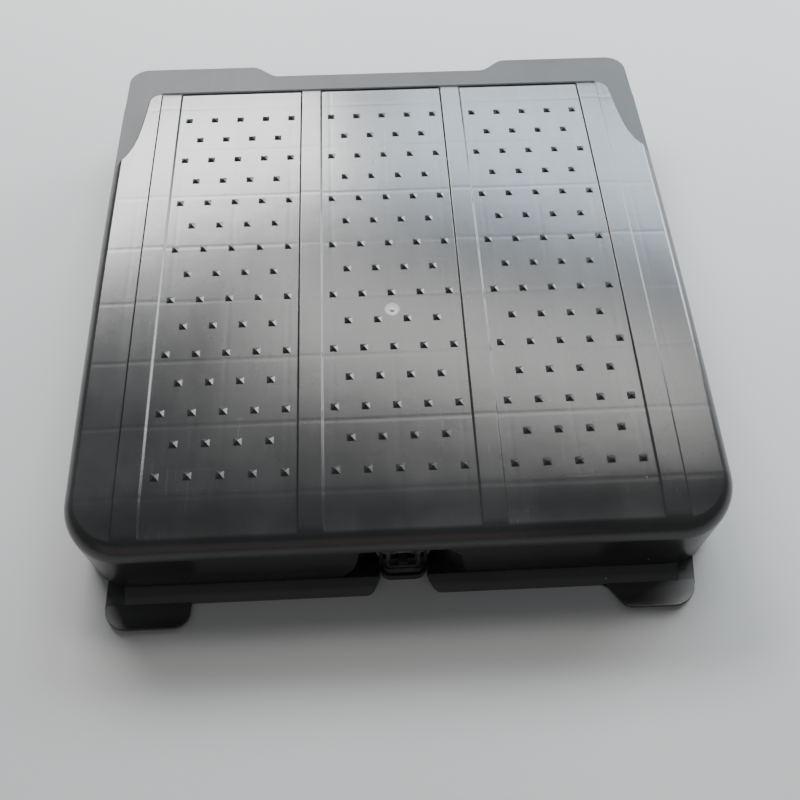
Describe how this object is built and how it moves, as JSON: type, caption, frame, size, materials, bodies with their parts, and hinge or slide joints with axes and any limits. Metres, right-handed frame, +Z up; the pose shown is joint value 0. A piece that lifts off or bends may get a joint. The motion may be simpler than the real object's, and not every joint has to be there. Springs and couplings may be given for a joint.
{
  "type": "latching tread cover",
  "caption": "Deep moulded equipment cover with an anti-slip stepping surface, a rear hooking lip, a front flange with tabs and a sprung swing latch.",
  "frame": {"origin": "on the resting plane of the base rim, at the middle of the overall box in X and Y", "axes": "+X to the right seen from the latch side, +Y towards the rear lip, +Z up through the tread"},
  "size_m": [0.666, 0.7381, 0.114],
  "materials": {
    "moulding": "charcoal polypropylene, satin-gloss as moulded",
    "nylon": "black nylon, fine grain",
    "steel": "zinc-plated steel",
    "rubber": "black moulded rubber",
    "sponge": "charcoal closed-cell sponge rubber"
  },
  "bodies": {
    "cover": {"tread_cover": "moulding", "latch_housing": "moulding", "latch_pin": "steel", "push_nut_left": "steel", "push_nut_right": "steel", "housing_screw_left": "steel", "housing_screw_right": "steel", "buffer_front_left": "rubber", "buffer_front_right": "rubber", "buffer_rear_left": "rubber", "buffer_rear_right": "rubber", "hold_down_pad_left": "sponge", "hold_down_pad_right": "sponge"},
    "latch": {"latch_lever": "nylon", "latch_spring_left": "steel", "latch_spring_right": "steel"}
  },
  "joints": [
    {"name": "latch_swing", "type": "hinge", "parent": "cover", "child": "latch", "pos_m": [0, -0.3075, 0.034], "axis": [-1, 0, 0], "range_deg": [0, 8.5], "stiffness_Nm_per_rad": 0.15, "springref_deg": -20.05}
  ]
}
